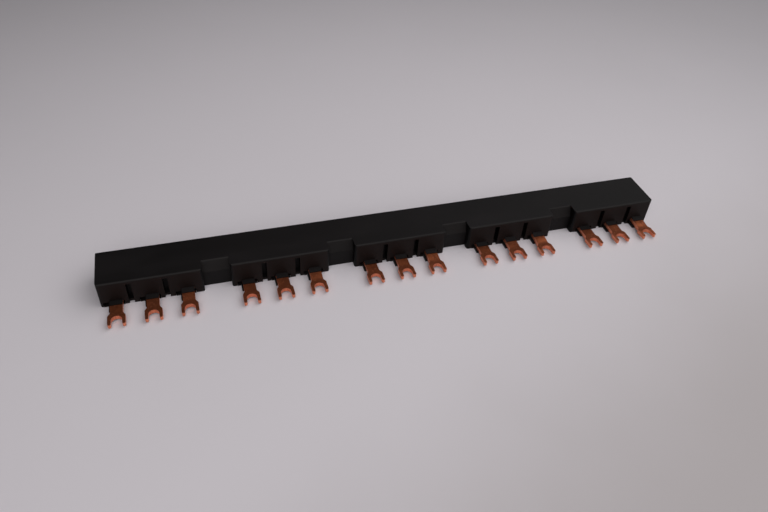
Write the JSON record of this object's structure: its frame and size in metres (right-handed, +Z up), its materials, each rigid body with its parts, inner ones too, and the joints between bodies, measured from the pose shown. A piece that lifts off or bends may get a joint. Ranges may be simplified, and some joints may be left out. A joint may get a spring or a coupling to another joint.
{
  "type": "comb busbar",
  "caption": "Insulated three-phase comb busbar with copper fork tap-offs in groups along one side of a black moulded housing.",
  "frame": {"origin": "middle of the base plate's underside, below the middle of the housing", "axes": "+X along the rail, forks point to -Y, +Z up out of the housing's top"},
  "size_m": [0.2574, 0.0339, 0.0127],
  "materials": {
    "black_plastic": "near-black moulded plastic with a fine satin grain",
    "copper": "bare copper, brown on the rolled faces and bright orange on the stamped edges",
    "insulation": "natural moulded plastic, hidden inside"
  },
  "bodies": {
    "root": {"housing": "black_plastic", "base_plate": "black_plastic", "lower_phase_bar": "copper", "middle_phase_bar": "copper", "upper_phase_bar": "copper", "lower_separator": "insulation", "upper_separator": "insulation"}
  },
  "joints": []
}
